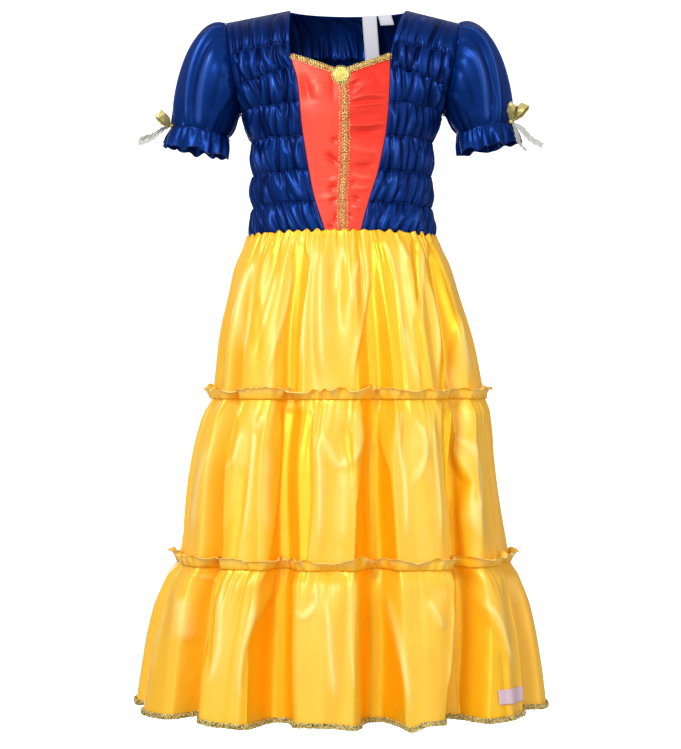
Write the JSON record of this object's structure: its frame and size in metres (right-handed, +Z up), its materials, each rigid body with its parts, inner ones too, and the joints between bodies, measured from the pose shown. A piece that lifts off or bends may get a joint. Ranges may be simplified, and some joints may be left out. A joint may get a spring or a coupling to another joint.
{
  "type": "princess costume dress",
  "caption": "Child's satin costume dress with a shirred bodice, a pointed contrast front, puff sleeves with ribbon bows and a tiered, ruffled long skirt, hollow as worn.",
  "frame": {"origin": "middle of the shoulder line, where the wearer's shoulders hold the dress up", "axes": "+Z up, -Y to the front of the dress, +X to the wearer's left"},
  "size_m": [0.511, 0.3458, 0.8688],
  "materials": {
    "blue_satin": "deep blue polyester satin, elastic shirred on the bodice",
    "red_satin": "bright red polyester satin",
    "yellow_satin": "golden yellow polyester satin",
    "gold_braid": "metallic gold gimp braid",
    "gold_ribbon": "pale gold metallic ribbon",
    "white_label": "plain white satin tape"
  },
  "bodies": {
    "root": {"bodice_back": "blue_satin", "bodice_front_left": "blue_satin", "bodice_front_right": "blue_satin", "sleeve_left": "blue_satin", "sleeve_right": "blue_satin", "bodice_insert": "red_satin", "skirt_tier_1_front": "yellow_satin", "skirt_tier_1_back": "yellow_satin", "skirt_tier_2_front": "yellow_satin", "skirt_tier_2_back": "yellow_satin", "skirt_tier_3_front": "yellow_satin", "skirt_tier_3_back": "yellow_satin", "ruffle_1": "yellow_satin", "ruffle_2": "yellow_satin", "hem_braid": "gold_braid", "neck_braid": "gold_braid", "centre_braid": "gold_braid", "rosette": "gold_braid", "bow_left_knot": "gold_ribbon", "bow_left_loop_front": "gold_ribbon", "bow_left_loop_back": "gold_ribbon", "bow_left_end_front": "gold_ribbon", "bow_left_end_back": "gold_ribbon", "bow_right_knot": "gold_ribbon", "bow_right_loop_front": "gold_ribbon", "bow_right_loop_back": "gold_ribbon", "bow_right_end_front": "gold_ribbon", "bow_right_end_back": "gold_ribbon", "hem_label": "white_label", "neck_label_long": "white_label", "neck_label_short": "white_label"}
  },
  "joints": []
}
